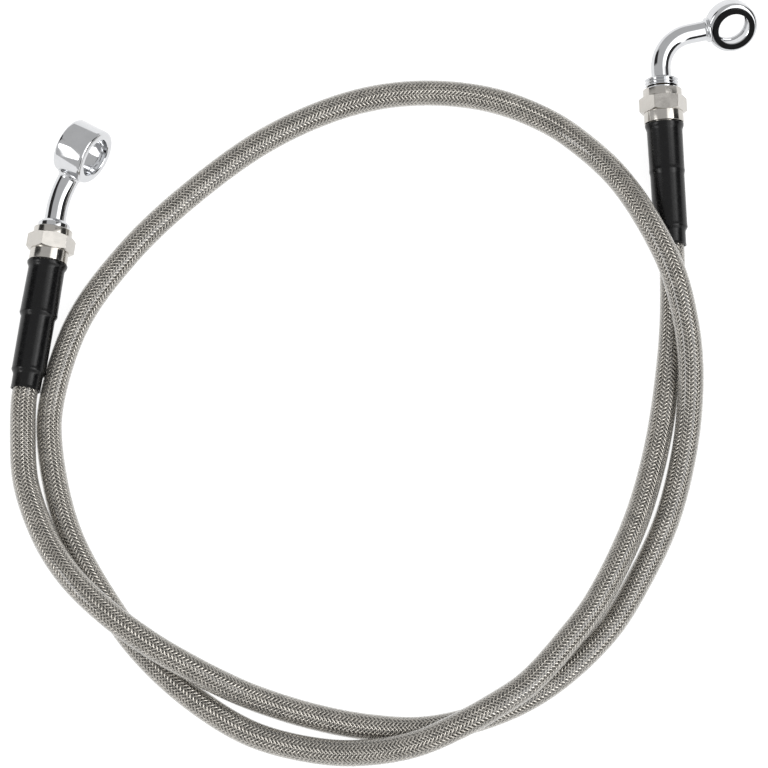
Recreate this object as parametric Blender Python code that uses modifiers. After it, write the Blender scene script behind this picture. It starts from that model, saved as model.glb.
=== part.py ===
"""Braided clutch hose: one flexible hose laid in about a turn and a half, with a banjo fitting at each end.

Sizes are in metres, +Z up, and the ground is at zero. Along a fitting's own axis, zero is the
middle of its hexagon and plus is towards the banjo eye.
"""

import math

import bmesh
import bpy
from mathutils import Vector

MM = 0.001

# Clearance between pieces that touch on the real hose
GAP = 0.3 * MM

# Steps in a full turn of a turned piece
STEPS = 36

# The hose
HOSE_R = 3.95 * MM
HOSE_FREE_POINTS = 74

# Sockets, nipples and olives, shared by both ends
HEX_FLATS = 13.0 * MM
HEX_HALF = 2.45 * MM
HEX_CHAMFER = 0.55 * MM
HOSE_END = -1.3 * MM
HOSE_BORE_R = HOSE_R + GAP
SKIRT_R = HOSE_BORE_R + 0.7 * MM
INNER_SLEEVE_R = HOSE_BORE_R + 0.45 * MM
OLIVE_BORE_R = 2.3 * MM
OLIVE_R = 3.8 * MM
OLIVE_HALF = 1.3 * MM
SPIGOT_R = OLIVE_BORE_R - GAP
PASSAGE_R = 1.3 * MM

# Banjo necks
NECK_BORE_R = 1.6 * MM
NECK_IN_NIPPLE = 2.6 * MM
NECK_IN_EYE = 0.5 * MM
EYE_CHAMFER = 0.25 * MM

# What differs between the two ends, angles in degrees. The nut is placed by the middle of its
# hexagon. "corner" and "reach" run from there to the bend's corner and on to the eye's middle.
LEFT = {
    "side": "left",
    "nut": (-0.104, -0.0165, 0.0076),
    "heading": 8.3,
    "pitch": 1.0,
    "roll": 36.6,
    "bend": 24.6,
    "twist": -110.5,
    "corner": 15.4 * MM,
    "reach": 15.8 * MM,
    "bend_radius": 22.0 * MM,
    "neck_r": 3.35 * MM,
    "hex_turn": 14.5,
    "eye_r": 8.7 * MM,
    "eye_bore_r": 6.0 * MM,
    "eye_half": 5.1 * MM,
    "eye_round": 1.8 * MM,
    "front_collar_r": 6.0 * MM,
    "front_collar_end": 4.65 * MM,
    "rear_collar_r": 5.95 * MM,
    "rear_collar_end": -5.9 * MM,
    "thread_r": 4.7 * MM,
    "shoulder_r": 5.0 * MM,
    "shoulder_end": 6.2 * MM,
    "nose_r": 4.2 * MM,
    "nose_end": 7.1 * MM,
    "lip_r": 6.25 * MM,
    "first_r": (5.6 * MM, 5.8 * MM),
    "first_end": -23.3 * MM,
    "second_r": 5.3 * MM,
    "second_end": -41.2 * MM,
    "third_r": 4.6 * MM,
    "sleeve_end": -46.7 * MM,
}
RIGHT = {
    "side": "right",
    "nut": (0.0852, 0.0282, 0.0088),
    "heading": -2.6,
    "pitch": 5.0,
    "roll": -5.2,
    "bend": 79.2,
    "twist": -38.4,
    "corner": 21.0 * MM,
    "reach": 23.4 * MM,
    "bend_radius": 11.5 * MM,
    "neck_r": 3.1 * MM,
    "hex_turn": 4.0,
    "eye_r": 8.05 * MM,
    "eye_bore_r": 5.1 * MM,
    "eye_half": 2.7 * MM,
    "eye_round": 1.3 * MM,
    "front_collar_r": 6.05 * MM,
    "front_collar_end": 4.95 * MM,
    "rear_collar_r": 6.15 * MM,
    "rear_collar_end": -5.7 * MM,
    "thread_r": 5.2 * MM,
    "shoulder_r": 5.2 * MM,
    "shoulder_end": 8.3 * MM,
    "nose_r": 4.7 * MM,
    "nose_end": 8.6 * MM,
    "lip_r": 6.05 * MM,
    "first_r": (5.55 * MM, 5.45 * MM),
    "first_end": -21.6 * MM,
    "second_r": 5.3 * MM,
    "second_end": -39.3 * MM,
    "third_r": 4.6 * MM,
    "sleeve_end": -44.7 * MM,
}

# The black washer on the near face of the right eye
WASHER_BORE_R = 5.1 * MM
WASHER_R = 6.75 * MM
WASHER_THICK = 0.7 * MM

# Points the hose passes through between its two sleeves, read off by eye from how it lies.
# The second loop stays beside the first and rides over it at three crossings.
ROUTE = [
    (-0.1112, -0.0750, 0.0070),
    (-0.1099, -0.0915, 0.0067),
    (-0.1035, -0.1090, 0.0085),
    (-0.0955, -0.1215, 0.0110),
    (-0.0845, -0.1325, 0.0125),
    (-0.0710, -0.1425, 0.0125),
    (-0.0605, -0.1485, 0.0110),
    (-0.0510, -0.1530, 0.0080),
    (-0.0410, -0.1570, 0.0050),
    (-0.0235, -0.1625, 0.0040),
    (-0.0055, -0.1660, 0.0040),
    (0.0120, -0.1665, 0.0040),
    (0.0330, -0.1610, 0.0040),
    (0.0485, -0.1525, 0.0040),
    (0.0653, -0.1368, 0.0040),
    (0.0758, -0.1202, 0.0040),
    (0.0839, -0.1031, 0.0040),
    (0.0889, -0.0856, 0.0045),
    (0.0913, -0.0705, 0.0065),
    (0.0918, -0.0555, 0.0100),
    (0.0905, -0.0430, 0.0125),
    (0.0868, -0.0275, 0.0145),
    (0.0795, -0.0110, 0.0140),
    (0.0707, 0.0043, 0.0100),
    (0.0607, 0.0157, 0.0065),
    (0.0495, 0.0245, 0.0045),
    (0.0317, 0.0318, 0.0040),
    (0.0095, 0.0340, 0.0040),
    (-0.0120, 0.0305, 0.0040),
    (-0.0375, 0.0190, 0.0040),
    (-0.0635, -0.0010, 0.0040),
    (-0.0810, -0.0190, 0.0040),
    (-0.0955, -0.0405, 0.0040),
    (-0.1030, -0.0660, 0.0040),
    (-0.1031, -0.0800, 0.0040),
    (-0.0970, -0.1060, 0.0040),
    (-0.0840, -0.1295, 0.0040),
    (-0.0720, -0.1450, 0.0040),
    (-0.0560, -0.1590, 0.0040),
    (-0.0395, -0.1685, 0.0040),
    (-0.0190, -0.1735, 0.0050),
    (-0.0055, -0.1740, 0.0075),
    (0.0080, -0.1720, 0.0105),
    (0.0205, -0.1670, 0.0125),
    (0.0315, -0.1610, 0.0130),
    (0.0415, -0.1540, 0.0120),
    (0.0547, -0.1392, 0.0110),
    (0.0617, -0.1297, 0.0100),
    (0.0705, -0.1130, 0.0085),
    (0.0765, -0.0980, 0.0065),
    (0.0818, -0.0785, 0.0045),
    (0.0853, -0.0575, 0.0040),
    (0.0870, -0.0400, 0.0045),
]


def material(name, colour, roughness, metallic):
    made = bpy.data.materials.new(name)
    made.use_nodes = True
    shader = made.node_tree.nodes["Principled BSDF"]
    shader.inputs["Base Color"].default_value = (*colour, 1.0)
    shader.inputs["Roughness"].default_value = roughness
    shader.inputs["Metallic"].default_value = metallic
    made.diffuse_color = (*colour, 1.0)
    return made


def add(name, mesh, parent, coat, cutter=False):
    piece = bpy.data.objects.new(name, mesh)
    piece.parent = parent
    if cutter:
        cutters.objects.link(piece)
        piece.hide_render = True
        piece.display_type = "WIRE"
    else:
        hose_set.objects.link(piece)
        mesh.materials.append(coat)
    return piece


def turned(name, profile, parent, coat=None, cutter=False, steps=STEPS):
    """A closed profile of (radius, height) pairs turned about the parent's Z."""
    mesh = bpy.data.meshes.new(name)
    points = [(r, 0.0, z) for r, z in profile]
    on_axis = profile[0][0] == 0.0 and profile[-1][0] == 0.0
    edges = [(i, i + 1) for i in range(len(points) - 1)]
    if not on_axis:
        edges.append((len(points) - 1, 0))
    mesh.from_pydata(points, edges, [])
    piece = add(name, mesh, parent, coat, cutter)
    screw = piece.modifiers.new("Turn", "SCREW")
    screw.axis = "Z"
    screw.steps = steps
    screw.render_steps = steps
    screw.use_smooth_shade = True
    screw.use_merge_vertices = True
    screw.merge_threshold = 0.000001
    return piece


def boolean(piece, other, operation):
    cut = piece.modifiers.new(operation.title(), "BOOLEAN")
    cut.operation = operation
    cut.object = other
    cut.solver = "EXACT"


def empty(name, parent, location, rotation):
    """A frame to hang pieces on. The rotation is in degrees."""
    frame = bpy.data.objects.new(name, None)
    frame.parent = parent
    frame.location = location
    frame.rotation_euler = [math.radians(a) for a in rotation]
    frame.empty_display_size = 0.005
    hose_set.objects.link(frame)
    return frame


def pipe(name, points, radius, sides_setting, parent, coat=None, cutter=False):
    """A round bar along points, turned into a mesh so that it can take a Boolean."""
    curve = bpy.data.curves.new(name, "CURVE")
    curve.dimensions = "3D"
    spline = curve.splines.new("POLY")
    spline.points.add(len(points) - 1)
    for spot, point in zip(spline.points, points):
        spot.co = (*point, 1.0)
    curve.bevel_depth = radius
    curve.bevel_resolution = sides_setting
    curve.use_fill_caps = True
    bar = bpy.data.objects.new(name, curve)
    hose_set.objects.link(bar)
    bpy.context.view_layer.update()
    shape = bpy.data.meshes.new_from_object(bar.evaluated_get(bpy.context.evaluated_depsgraph_get()))
    bpy.data.objects.remove(bar)
    bpy.data.curves.remove(curve)
    bm = bmesh.new()
    bm.from_mesh(shape)
    bmesh.ops.remove_doubles(bm, verts=bm.verts, dist=0.000001)
    bmesh.ops.recalc_face_normals(bm, faces=bm.faces)
    bm.to_mesh(shape)
    bm.free()
    shape.name = name
    shape.materials.clear()
    shape.shade_smooth()
    return add(name, shape, parent, coat, cutter)


def rounded_ring(outer, bore, half, edge, chamfer, groove_half, groove_deep):
    """Profile of a banjo eye: rounded outer edges, chamfered mouths and an oil groove in the bore."""
    corner = []
    for step in range(5):
        angle = math.radians(90.0 - 22.5 * step)
        corner.append((outer - edge + edge * math.cos(angle), half - edge + edge * math.sin(angle)))
    lower = [(r, -z) for r, z in reversed(corner)]
    inside = [
        (bore + chamfer, -half),
        (bore, -half + chamfer),
        (bore, -groove_half),
        (bore + groove_deep, -groove_half + groove_deep * 0.6),
        (bore + groove_deep, groove_half - groove_deep * 0.6),
        (bore, groove_half),
        (bore, half - chamfer),
        (bore + chamfer, half),
    ]
    return corner + lower + inside


def catmull(points, steps):
    """A smooth curve through the points, as centripetal Catmull-Rom pieces."""
    spots = [Vector(p) for p in points]
    spots = [2 * spots[0] - spots[1]] + spots + [2 * spots[-1] - spots[-2]]
    line = []
    for a, b, c, d in zip(spots, spots[1:], spots[2:], spots[3:]):
        ta = 0.0
        tb = ta + math.sqrt((b - a).length)
        tc = tb + math.sqrt((c - b).length)
        td = tc + math.sqrt((d - c).length)
        for step in range(steps):
            t = tb + (tc - tb) * step / steps
            ab = a.lerp(b, (t - ta) / (tb - ta))
            bc = b.lerp(c, (t - tb) / (tc - tb))
            cd = c.lerp(d, (t - tc) / (td - tc))
            abc = ab.lerp(bc, (t - ta) / (tc - ta))
            bcd = bc.lerp(cd, (t - tb) / (td - tb))
            line.append(abc.lerp(bcd, (t - tb) / (tc - tb)))
    line.append(spots[-2].copy())
    return line


def even(line, count):
    """Points at equal spacing along a line, both ends kept."""
    along = [0.0]
    for a, b in zip(line, line[1:]):
        along.append(along[-1] + (b - a).length)
    spread = []
    k = 0
    for i in range(count):
        want = along[-1] * i / (count - 1)
        while k < len(line) - 2 and along[k + 1] < want:
            k += 1
        share = (want - along[k]) / (along[k + 1] - along[k])
        spread.append(line[k].lerp(line[k + 1], min(share, 1.0)))
    return spread


def fitting(end):
    """One end of the hose. Returns the frame of its axis and the frame of its eye."""
    side = end["side"]
    seat = empty(side + "_fitting", None, end["nut"], (end["pitch"] - 90.0, 0.0, -end["heading"]))
    axis = empty(side + "_axis", seat, (0.0, 0.0, 0.0), (0.0, 0.0, -end["roll"]))
    bend = math.radians(end["bend"])
    eye_spot = (end["reach"] * math.sin(bend), 0.0, end["corner"] + end["reach"] * math.cos(bend))
    neck_end = empty(side + "_neck_end", axis, eye_spot, (0.0, end["bend"], 0.0))
    eye_axis = empty(side + "_eye_axis", neck_end, (0.0, 0.0, 0.0), (90.0, 0.0, -end["twist"]))

    # Banjo eye: a ring with a seat for the neck, a raised braze fillet round it and a cross hole
    groove_half = end["eye_half"] * 0.55
    neck_seat_r = end["neck_r"] + GAP
    fillet_r = neck_seat_r + 0.6 * MM
    eye = turned(
        side + "_banjo_eye",
        rounded_ring(
            end["eye_r"],
            end["eye_bore_r"],
            end["eye_half"],
            end["eye_round"],
            EYE_CHAMFER,
            groove_half,
            0.45 * MM,
        ),
        eye_axis,
        chrome,
    )
    fillet = turned(
        side + "_eye_fillet",
        [
            (0.0, -end["eye_r"] - 0.7 * MM),
            (neck_seat_r + 0.25 * MM, -end["eye_r"] - 0.7 * MM),
            (fillet_r, -end["eye_r"] + 0.25 * MM),
            (neck_seat_r + 0.35 * MM, -end["eye_r"] + NECK_IN_EYE + GAP),
            (neck_seat_r - 0.1 * MM, -end["eye_r"] + NECK_IN_EYE + 2.0 * GAP),
            (0.0, -end["eye_r"] + NECK_IN_EYE + 2.0 * GAP),
        ][::-1],
        neck_end,
        cutter=True,
        steps=28,
    )
    neck_seat = turned(
        side + "_neck_seat",
        [
            (0.0, -end["eye_r"] + NECK_IN_EYE + GAP),
            (neck_seat_r, -end["eye_r"] + NECK_IN_EYE + GAP),
            (neck_seat_r, -end["eye_r"] - 3.0 * MM),
            (0.0, -end["eye_r"] - 3.0 * MM),
        ],
        neck_end,
        cutter=True,
        steps=32,
    )
    cross_hole = turned(
        side + "_cross_hole",
        [
            (0.0, 0.0),
            (NECK_BORE_R, 0.0),
            (NECK_BORE_R, -end["eye_r"]),
            (0.0, -end["eye_r"]),
        ],
        neck_end,
        cutter=True,
        steps=24,
    )
    boolean(eye, fillet, "UNION")
    boolean(eye, neck_seat, "DIFFERENCE")
    boolean(eye, cross_hole, "DIFFERENCE")

    # Neck: a bent tube from the nipple's seat to the eye's seat
    turn_in = end["bend_radius"] * math.tan(bend / 2.0)
    start = end["nose_end"] - NECK_IN_NIPPLE
    stop = end["reach"] - end["eye_r"] + NECK_IN_EYE

    def neck_path(more):
        path = [(0.0, 0.0, start - more)]
        arc = 11
        for i in range(arc + 1):
            angle = bend * i / arc
            x = end["bend_radius"] * (1.0 - math.cos(angle))
            z = end["corner"] - turn_in + end["bend_radius"] * math.sin(angle)
            path.append((x, 0.0, z))
        far = stop + more
        path.append((far * math.sin(bend), 0.0, end["corner"] + far * math.cos(bend)))
        return path

    neck = pipe(side + "_neck_tube", neck_path(0.0), end["neck_r"], 8, axis, chrome)
    neck_bore = pipe(side + "_neck_bore", neck_path(1.0 * MM), NECK_BORE_R, 5, axis, cutter=True)
    boolean(neck, neck_bore, "DIFFERENCE")

    # Nipple: thread inside the nut, shoulder or bare thread in front of it, seat for the neck
    seat_floor = start - GAP
    turned(
        side + "_threaded_nipple",
        [
            (neck_seat_r, end["nose_end"]),
            (end["nose_r"], end["nose_end"]),
            (end["shoulder_r"], end["shoulder_end"]),
            (end["shoulder_r"], end["front_collar_end"] + GAP),
            (end["thread_r"], end["front_collar_end"] + GAP),
            (end["thread_r"], 2.6 * MM),
            (OLIVE_R, 1.6 * MM),
            (SPIGOT_R, 1.6 * MM),
            (SPIGOT_R, HOSE_END + GAP),
            (PASSAGE_R, HOSE_END + GAP),
            (PASSAGE_R, seat_floor),
            (neck_seat_r, seat_floor),
        ],
        axis,
        steel,
    )

    # Olive: a brass ring with two cones, between the nipple and the nut's inner shoulder
    turned(
        side + "_olive",
        [
            (OLIVE_BORE_R, OLIVE_HALF),
            (OLIVE_R - 0.6 * MM, OLIVE_HALF),
            (OLIVE_R, 0.45 * MM),
            (OLIVE_R, -0.15 * MM),
            (OLIVE_R - 0.6 * MM, HOSE_END + GAP),
            (OLIVE_BORE_R, HOSE_END + GAP),
        ],
        axis,
        brass,
    )

    # Nut: chamfered hexagon, a round collar on each side and a thin skirt under the sleeve
    nut = turned(
        side + "_socket_nut",
        [
            (0.0, end["front_collar_end"]),
            (end["front_collar_r"] - 0.3 * MM, end["front_collar_end"]),
            (end["front_collar_r"], end["front_collar_end"] - 0.3 * MM),
            (end["front_collar_r"], 0.0),
            (end["rear_collar_r"], -0.1 * MM),
            (end["rear_collar_r"], end["rear_collar_end"]),
            (SKIRT_R, end["rear_collar_end"]),
            (SKIRT_R, end["first_end"] + 0.6 * MM),
            (0.0, end["first_end"] + 0.6 * MM),
        ],
        axis,
        nickel,
    )
    block_mesh = bpy.data.meshes.new(side + "_hexagon")
    bm = bmesh.new()
    bmesh.ops.create_cone(
        bm,
        cap_ends=True,
        segments=6,
        radius1=HEX_FLATS / math.sqrt(3.0),
        radius2=HEX_FLATS / math.sqrt(3.0),
        depth=2.0 * HEX_HALF,
    )
    bm.to_mesh(block_mesh)
    bm.free()
    hexagon = add(side + "_hexagon", block_mesh, seat, None, cutter=True)
    hexagon.rotation_euler = (0.0, 0.0, math.radians(30.0 + end["hex_turn"]))
    corner_r = HEX_FLATS / math.sqrt(3.0)
    face_r = HEX_FLATS / 2.0 - 0.1 * MM
    rounder = turned(
        side + "_hex_chamfers",
        [
            (0.0, HEX_HALF + 0.1 * MM),
            (face_r - 0.15 * MM, HEX_HALF + 0.1 * MM),
            (corner_r + 0.1 * MM, HEX_HALF - HEX_CHAMFER),
            (corner_r + 0.1 * MM, -HEX_HALF + HEX_CHAMFER),
            (face_r - 0.15 * MM, -HEX_HALF - 0.1 * MM),
            (0.0, -HEX_HALF - 0.1 * MM),
        ],
        axis,
        cutter=True,
        steps=36,
    )
    boolean(hexagon, rounder, "INTERSECT")
    boolean(nut, hexagon, "UNION")
    nut_bore = turned(
        side + "_nut_bore",
        [
            (0.0, end["front_collar_end"] + 1.0 * MM),
            (end["thread_r"] + GAP, end["front_collar_end"] + 1.0 * MM),
            (end["thread_r"] + GAP, 1.2 * MM),
            (OLIVE_R + GAP, -0.3 * MM),
            (HOSE_BORE_R, HOSE_END + 0.2 * MM),
            (HOSE_BORE_R, end["first_end"] - 1.0 * MM),
            (0.0, end["first_end"] - 1.0 * MM),
        ],
        axis,
        cutter=True,
    )
    boolean(nut, nut_bore, "DIFFERENCE")

    # Inner sleeve: the support under the long sleeve that makes its second step
    turned(
        side + "_inner_sleeve",
        [
            (HOSE_BORE_R, end["first_end"] - 0.3 * MM),
            (INNER_SLEEVE_R, end["first_end"] - 0.3 * MM),
            (INNER_SLEEVE_R, end["second_end"] + 0.5 * MM),
            (HOSE_BORE_R, end["second_end"] + 0.5 * MM),
        ],
        axis,
        black,
    )

    # Shrink sleeve: one thin skin drawn over skirt, inner sleeve and bare hose, with a step for each
    lip = end["rear_collar_end"] - GAP
    turned(
        side + "_shrink_sleeve",
        [
            (end["lip_r"] - 0.25 * MM, lip),
            (end["lip_r"], lip - 0.25 * MM),
            (end["lip_r"], lip - 1.1 * MM),
            (end["first_r"][0], lip - 1.7 * MM),
            (end["first_r"][1], end["first_end"] + 1.2 * MM),
            (end["first_r"][1] + 0.1 * MM, end["first_end"] + 0.3 * MM),
            (end["second_r"], end["first_end"] - 0.6 * MM),
            (end["second_r"], end["second_end"] + 0.9 * MM),
            (end["second_r"] + 0.05 * MM, end["second_end"] + 0.2 * MM),
            (end["third_r"], end["second_end"] - 0.6 * MM),
            (end["third_r"] - 0.1 * MM, end["sleeve_end"]),
            (HOSE_BORE_R, end["sleeve_end"]),
            (HOSE_BORE_R, end["second_end"] + 0.1 * MM),
            (INNER_SLEEVE_R + GAP, end["second_end"] + 0.2 * MM),
            (INNER_SLEEVE_R + GAP, end["first_end"] + 0.1 * MM),
            (SKIRT_R + GAP, end["first_end"] + 0.3 * MM),
            (SKIRT_R + GAP, lip),
        ],
        axis,
        black,
    )
    return seat, eye_axis


def on_axis(end, station):
    """The place of a station along a fitting's axis."""
    heading = math.radians(end["heading"])
    pitch = math.radians(end["pitch"])
    ahead = Vector(
        (
            math.sin(heading) * math.cos(pitch),
            math.cos(heading) * math.cos(pitch),
            math.sin(pitch),
        )
    )
    return Vector(end["nut"]) + ahead * station


for old in list(bpy.data.objects):
    bpy.data.objects.remove(old)

hose_set = bpy.data.collections.new("braided_clutch_hose")
cutters = bpy.data.collections.new("cutters")
bpy.context.scene.collection.children.link(hose_set)
bpy.context.scene.collection.children.link(cutters)

chrome = material("bright_chrome", (0.78, 0.78, 0.80), 0.12, 1.0)
steel = material("plated_steel", (0.70, 0.70, 0.71), 0.2, 1.0)
nickel = material("nickel_plate", (0.66, 0.62, 0.56), 0.22, 1.0)
brass = material("olive_brass", (0.72, 0.53, 0.24), 0.3, 1.0)
black = material("black_shrink_sleeve", (0.02, 0.02, 0.022), 0.4, 0.0)
seal = material("black_seal", (0.015, 0.015, 0.015), 0.45, 0.0)
braid = material("braid_under_clear_jacket", (0.42, 0.40, 0.37), 0.35, 0.6)

left_seat, left_eye_axis = fitting(LEFT)
right_seat, right_eye_axis = fitting(RIGHT)

# Washer: lies on the near flat face of the right eye
washer_from = RIGHT["eye_half"] + GAP
turned(
    "right_seal_washer",
    [
        (WASHER_BORE_R, washer_from + WASHER_THICK),
        (WASHER_R - 0.2 * MM, washer_from + WASHER_THICK),
        (WASHER_R, washer_from + WASHER_THICK - 0.2 * MM),
        (WASHER_R, washer_from),
        (WASHER_BORE_R, washer_from),
    ],
    right_eye_axis,
    seal,
)

# Hose: straight inside each sleeve, then free along the route
left_straight = [on_axis(LEFT, s) for s in (HOSE_END, LEFT["first_end"], LEFT["sleeve_end"])]
right_straight = [on_axis(RIGHT, s) for s in (RIGHT["sleeve_end"], RIGHT["first_end"], HOSE_END)]
leave = on_axis(LEFT, LEFT["sleeve_end"] - 2.5 * MM)
arrive = on_axis(RIGHT, RIGHT["sleeve_end"] - 2.5 * MM)
guide = [left_straight[2], leave] + [Vector(p) for p in ROUTE] + [arrive, right_straight[0]]
smooth = catmull(guide, 16)
free = smooth[16:-16]
hose_line = left_straight + even(free, HOSE_FREE_POINTS) + right_straight
pipe("hose", hose_line, HOSE_R, 3, None, braid)
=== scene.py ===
import math
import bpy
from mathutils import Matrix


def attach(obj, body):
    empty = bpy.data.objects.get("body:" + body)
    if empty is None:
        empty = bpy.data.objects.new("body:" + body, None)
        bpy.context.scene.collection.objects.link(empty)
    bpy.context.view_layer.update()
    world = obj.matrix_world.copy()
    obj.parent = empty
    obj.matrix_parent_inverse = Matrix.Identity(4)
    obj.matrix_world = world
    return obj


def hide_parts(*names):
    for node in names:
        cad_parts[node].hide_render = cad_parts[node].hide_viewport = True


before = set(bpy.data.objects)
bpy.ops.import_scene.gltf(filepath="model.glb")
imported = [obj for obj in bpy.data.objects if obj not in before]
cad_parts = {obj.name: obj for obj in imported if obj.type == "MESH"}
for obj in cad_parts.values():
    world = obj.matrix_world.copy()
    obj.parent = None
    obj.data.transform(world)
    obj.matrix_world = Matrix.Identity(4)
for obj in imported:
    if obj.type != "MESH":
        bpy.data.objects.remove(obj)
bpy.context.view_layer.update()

from types import SimpleNamespace as Sizes

import bmesh
import bpy
from mathutils import Euler, Matrix, Vector


# Camera: a long lens straight above the hose, leaning 15 degrees towards its lower edge.
MM = 0.001
CAMERA_LEAN = math.radians(15.0)
CAMERA_AWAY = 1.1
CAMERA_LENS_MM = 168.1
CAMERA_SENSOR_MM = 36.0
LOOK_AT = Vector((-0.0015, -0.059, 0.0))
camera_data = bpy.data.cameras.new("product_camera")
camera_data.sensor_width = CAMERA_SENSOR_MM
camera_data.lens = CAMERA_LENS_MM
camera = bpy.data.objects.new("product_camera", camera_data)
towards_camera = Vector((0.0, -math.sin(CAMERA_LEAN), math.cos(CAMERA_LEAN)))
camera.location = LOOK_AT + CAMERA_AWAY * towards_camera
camera.rotation_euler = (CAMERA_LEAN, 0.0, 0.0)
bpy.context.scene.collection.objects.link(camera)
bpy.context.scene.camera = camera


# Hose jacket: a clear soft PVC tube extruded over the braid, glossy and smooth.
# The hose is one piece, gripped in a socket nut at each end. It lies in a turn and a half
# and rides over itself at three crossings. All other pieces of the hose follow its line.
HOSE_R = 3.95 * MM
JACKET_STEP = 1.8 * MM
JACKET_SIDES = 8
STEPS_IN_SPAN = 16


def srgb(code):
    """A colour written as sRGB hex, in linear values."""
    parts = [int(code[i:i + 2], 16) / 255.0 for i in (0, 2, 4)]
    return (*[c / 12.92 if c <= 0.04045 else ((c + 0.055) / 1.055) ** 2.4 for c in parts], 1.0)


def add_node(tree, kind, settings=None, values=None, links=None):
    """One node with its settings, the values of its sockets and the outputs that feed them."""
    node = tree.nodes.new(kind)
    for name, value in (settings or {}).items():
        setattr(node, name, value)
    for name, value in (values or {}).items():
        node.inputs[name].default_value = value
    for name, source in (links or {}).items():
        tree.links.new(source, node.inputs[name])
    return node


def new_material(name):
    """An empty node material and its tree."""
    made = bpy.data.materials.new(name)
    made.use_nodes = True
    made.node_tree.nodes.clear()
    return made, made.node_tree


def fitting_frame(nut, heading, pitch):
    """Z runs from the hose to the banjo eye, and zero is the middle of the nut's hexagon."""
    turn = Euler((math.radians(pitch - 90.0), 0.0, -math.radians(heading)))
    return Matrix.Translation(nut) @ turn.to_matrix().to_4x4()


SEAT = {
    "left": fitting_frame((-0.104, -0.0165, 0.0076), 8.3, 1.0),
    "right": fitting_frame((0.0852, 0.0282, 0.0088), -2.6, 5.0),
}

# Places along a fitting are in millimetres on its Z. Behind the hexagon they are negative.
HOSE_STOP = -1.3
SKIRT_END = {"left": -23.3, "right": -21.6}
SLEEVE_END = {"left": -46.7, "right": -44.7}
LEAD_OUT = 2.5

ROUTE = [
    (-0.1112, -0.0750, 0.0070), (-0.1099, -0.0915, 0.0067), (-0.1035, -0.1090, 0.0085),
    (-0.0955, -0.1215, 0.0110), (-0.0845, -0.1325, 0.0125), (-0.0710, -0.1425, 0.0125),
    (-0.0605, -0.1485, 0.0110), (-0.0510, -0.1530, 0.0080), (-0.0410, -0.1570, 0.0050),
    (-0.0235, -0.1625, 0.0040), (-0.0055, -0.1660, 0.0040), (0.0120, -0.1665, 0.0040),
    (0.0330, -0.1610, 0.0040), (0.0485, -0.1525, 0.0040), (0.0653, -0.1368, 0.0040),
    (0.0758, -0.1202, 0.0040), (0.0839, -0.1031, 0.0040), (0.0889, -0.0856, 0.0045),
    (0.0913, -0.0705, 0.0065), (0.0918, -0.0555, 0.0100), (0.0905, -0.0430, 0.0125),
    (0.0868, -0.0275, 0.0145), (0.0795, -0.0110, 0.0140), (0.0707, 0.0043, 0.0100),
    (0.0607, 0.0157, 0.0065), (0.0495, 0.0245, 0.0045), (0.0317, 0.0318, 0.0040),
    (0.0095, 0.0340, 0.0040), (-0.0120, 0.0305, 0.0040), (-0.0375, 0.0190, 0.0040),
    (-0.0635, -0.0010, 0.0040), (-0.0810, -0.0190, 0.0040), (-0.0955, -0.0405, 0.0040),
    (-0.1030, -0.0660, 0.0040), (-0.1031, -0.0800, 0.0040), (-0.0970, -0.1060, 0.0040),
    (-0.0840, -0.1295, 0.0040), (-0.0720, -0.1450, 0.0040), (-0.0560, -0.1590, 0.0040),
    (-0.0395, -0.1685, 0.0040), (-0.0190, -0.1735, 0.0050), (-0.0055, -0.1740, 0.0075),
    (0.0080, -0.1720, 0.0105), (0.0205, -0.1670, 0.0125), (0.0315, -0.1610, 0.0130),
    (0.0415, -0.1540, 0.0120), (0.0547, -0.1392, 0.0110), (0.0617, -0.1297, 0.0100),
    (0.0705, -0.1130, 0.0085), (0.0765, -0.0980, 0.0065), (0.0818, -0.0785, 0.0045),
    (0.0853, -0.0575, 0.0040), (0.0870, -0.0400, 0.0045),
]


def on_fitting(side, z):
    """A point on a fitting's centre line."""
    return SEAT[side] @ Vector((0.0, 0.0, z * MM))


def smooth_line(points, steps):
    """A smooth curve through the points, as centripetal Catmull-Rom pieces."""
    spots = [Vector(p) for p in points]
    spots = [2 * spots[0] - spots[1]] + spots + [2 * spots[-1] - spots[-2]]
    line = []
    for a, b, c, d in zip(spots, spots[1:], spots[2:], spots[3:]):
        ta = 0.0
        tb = ta + math.sqrt((b - a).length)
        tc = tb + math.sqrt((c - b).length)
        td = tc + math.sqrt((d - c).length)
        for step in range(steps):
            t = tb + (tc - tb) * step / steps
            ab = a.lerp(b, (t - ta) / (tb - ta))
            bc = b.lerp(c, (t - tb) / (tc - tb))
            cd = c.lerp(d, (t - tc) / (td - tc))
            abc = ab.lerp(bc, (t - ta) / (tc - ta))
            bcd = bc.lerp(cd, (t - tb) / (td - tb))
            line.append(abc.lerp(bcd, (t - tb) / (tc - tb)))
    line.append(spots[-2].copy())
    return line


def line_length(line):
    """The length of a line of points."""
    return sum((b - a).length for a, b in zip(line, line[1:]))


def evenly(line, spacing):
    """Points at equal spacing along a line, both ends kept."""
    along = [0.0]
    for a, b in zip(line, line[1:]):
        along.append(along[-1] + (b - a).length)
    count = max(2, round(along[-1] / spacing) + 1)
    spread = []
    k = 0
    for i in range(count):
        want = along[-1] * i / (count - 1)
        while k < len(line) - 2 and along[k + 1] < want:
            k += 1
        share = (want - along[k]) / (along[k + 1] - along[k])
        spread.append(line[k].lerp(line[k + 1], min(share, 1.0)))
    return spread


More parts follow.
